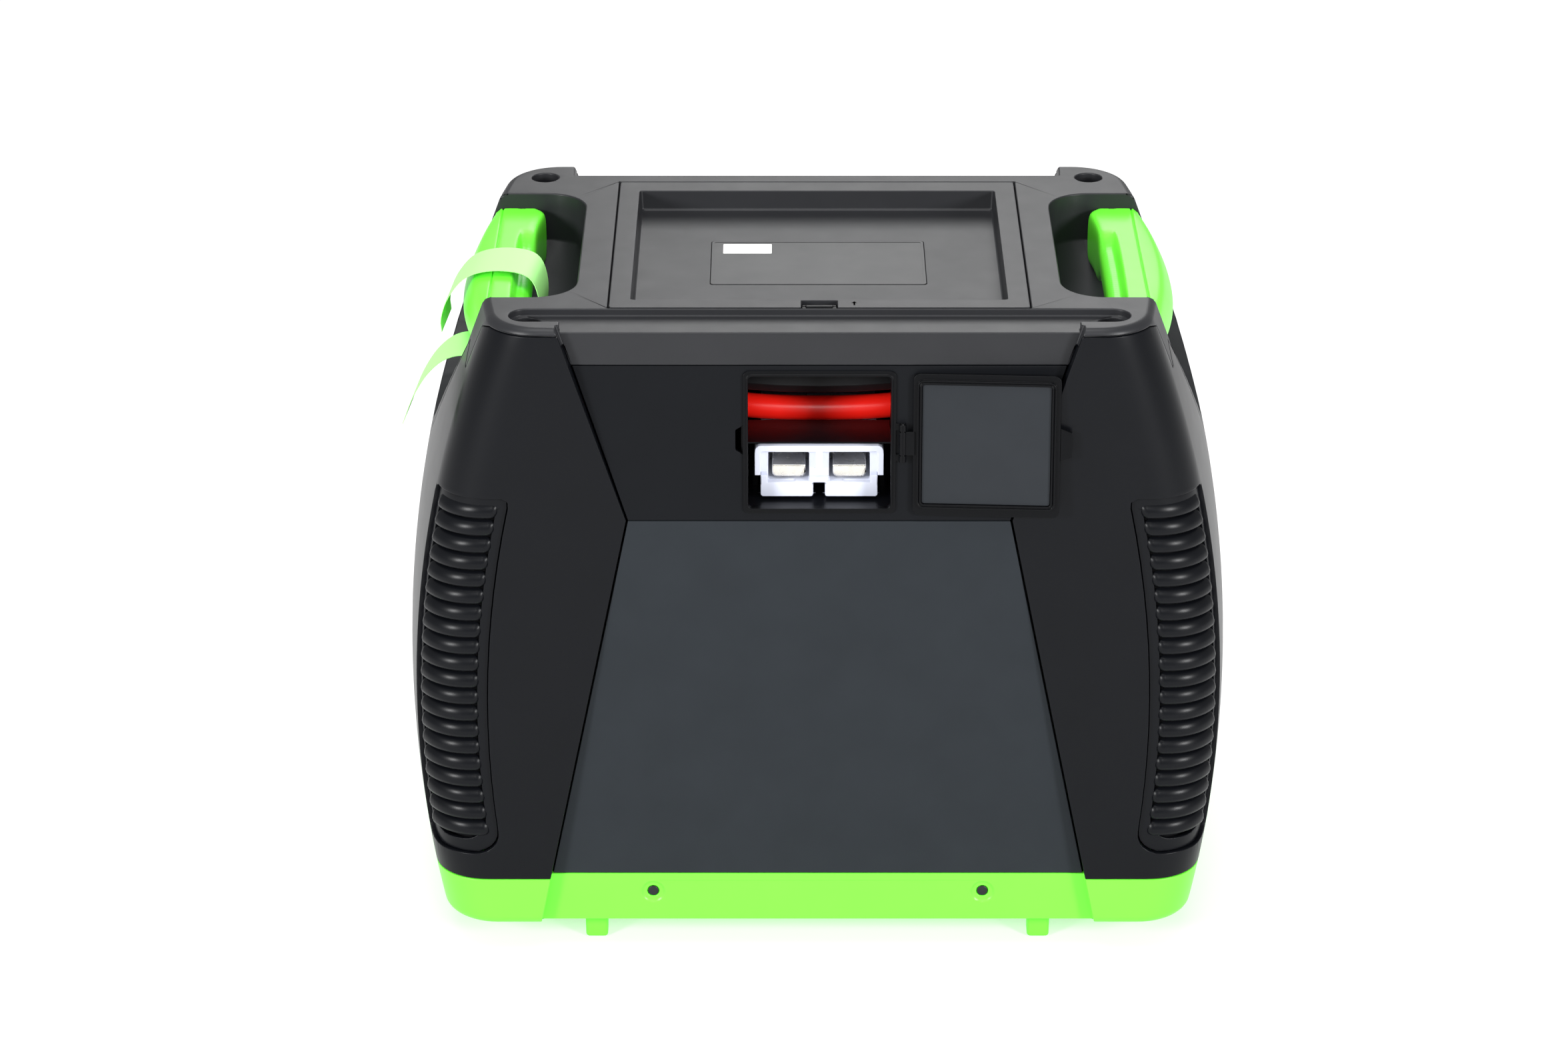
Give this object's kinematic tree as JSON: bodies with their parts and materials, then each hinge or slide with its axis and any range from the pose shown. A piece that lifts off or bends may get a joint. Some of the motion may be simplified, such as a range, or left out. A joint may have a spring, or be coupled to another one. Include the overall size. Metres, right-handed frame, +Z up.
{
  "type": "portable expansion battery pod",
  "caption": "Free-standing battery pod with two carry handles, a lid with a tray, louvred corner pillars, and a recessed port with a two-pole connector and a folding flap.",
  "frame": {"origin": "middle of the footprint of the whole object, level with the bottoms of the four pegs", "axes": "+Z up, -Y out of the side with the expansion port, +X to the right when that side is looked at"},
  "size_m": [0.492, 0.2887, 0.402],
  "materials": {
    "green_plastic": "satin moulded ABS",
    "case_black": "satin black moulded ABS",
    "panel_graphite": "satin graphite moulded ABS",
    "cover_grey": "finely textured dark grey ABS",
    "rubber_black": "matt moulded rubber",
    "connector_grey": "pale lavender grey polycarbonate",
    "contact_silver": "silver plated copper",
    "lead_red": "red insulation",
    "lead_black": "black insulation",
    "zinc_steel": "zinc plated steel",
    "plate_lead": "lead plates with acid-soaked glass mat between them",
    "battery_plastic": "moulded ABS",
    "foam": "dense foam sheet",
    "circuit_board": "green solder mask",
    "clear_window": "clear polycarbonate",
    "label_film": "black printed film, left blank",
    "tag_paper": "pale green coated paper, white on the inside"
  },
  "bodies": {
    "case": {"base_screw_front_left": "zinc_steel", "base_screw_front_right": "zinc_steel", "base_screw_rear_left": "zinc_steel", "base_screw_rear_right": "zinc_steel", "base_tray": "green_plastic", "battery_case": "battery_plastic", "battery_cover": "battery_plastic", "battery_mat": "foam", "button_bezel": "case_black", "care_tag": "tag_paper", "cell_plates_1": "plate_lead", "cell_plates_2": "plate_lead", "cell_plates_3": "plate_lead", "cell_plates_4": "plate_lead", "cell_plates_5": "plate_lead", "cell_plates_6": "plate_lead", "charge_controller": "battery_plastic", "connector_housing": "connector_grey", "dc_socket": "case_black", "fuse_block": "battery_plastic", "gauge_board": "circuit_board", "gauge_lens": "clear_window", "hold_down_bar": "zinc_steel", "hold_down_rod_front": "zinc_steel", "hold_down_rod_rear": "zinc_steel", "left_handle": "green_plastic", "left_side_shell": "case_black", "lower_front_panel": "panel_graphite", "lower_rear_panel": "panel_graphite", "negative_bolt": "zinc_steel", "negative_contact": "contact_silver", "negative_lead": "lead_black", "negative_lug": "contact_silver", "negative_terminal": "plate_lead", "port_bezel": "rubber_black", "port_cradle": "case_black", "port_hinge_pin": "zinc_steel", "port_panel": "case_black", "positive_bolt": "zinc_steel", "positive_contact": "contact_silver", "positive_lead": "lead_red", "positive_lug": "contact_silver", "positive_terminal": "plate_lead", "rear_panel": "case_black", "right_handle": "green_plastic", "right_side_shell": "case_black", "solar_jack": "case_black", "top_cover": "cover_grey", "vent_grille_front_left": "case_black", "vent_grille_front_right": "case_black", "vent_grille_rear_left": "case_black", "vent_grille_rear_right": "case_black"},
    "lid": {"lid": "cover_grey", "label_plate": "label_film"},
    "latch": {"lid_latch": "rubber_black"},
    "flap": {"port_flap": "rubber_black"},
    "dc_cap": {"socket_cap": "rubber_black"},
    "sun_cap": {"solar_cap": "rubber_black"},
    "button": {"power_button": "green_plastic"}
  },
  "joints": [
    {"name": "lid_hinge", "type": "hinge", "parent": "case", "child": "lid", "pos_m": [0, 0.11205, 0.4012], "axis": [-1, 0, 0], "range_deg": [0, 75]},
    {"name": "latch_slide", "type": "slide", "parent": "lid", "child": "latch", "axis": [0, 1, 0], "range_m": [0, 0.0032], "stiffness_N_per_m": 200, "springref_m": -0.002},
    {"name": "flap_hinge", "type": "hinge", "parent": "case", "child": "flap", "pos_m": [0.0475, -0.13784, 0.28418], "axis": [0, -0.0704, -0.9975], "range_deg": [0, 176]},
    {"name": "dc_cap_hinge", "type": "hinge", "parent": "case", "child": "dc_cap", "pos_m": [0.07, 0.13588, 0.35072], "axis": [1, 0, 0], "range_deg": [0, 110]},
    {"name": "sun_cap_hinge", "type": "hinge", "parent": "case", "child": "sun_cap", "pos_m": [0.024, 0.13754, 0.34238], "axis": [1, 0, 0], "range_deg": [0, 110]},
    {"name": "button_press", "type": "slide", "parent": "case", "child": "button", "axis": [0, -0.9808, -0.1951], "range_m": [0, 0.0014], "stiffness_N_per_m": 300, "springref_m": -0.002}
  ]
}
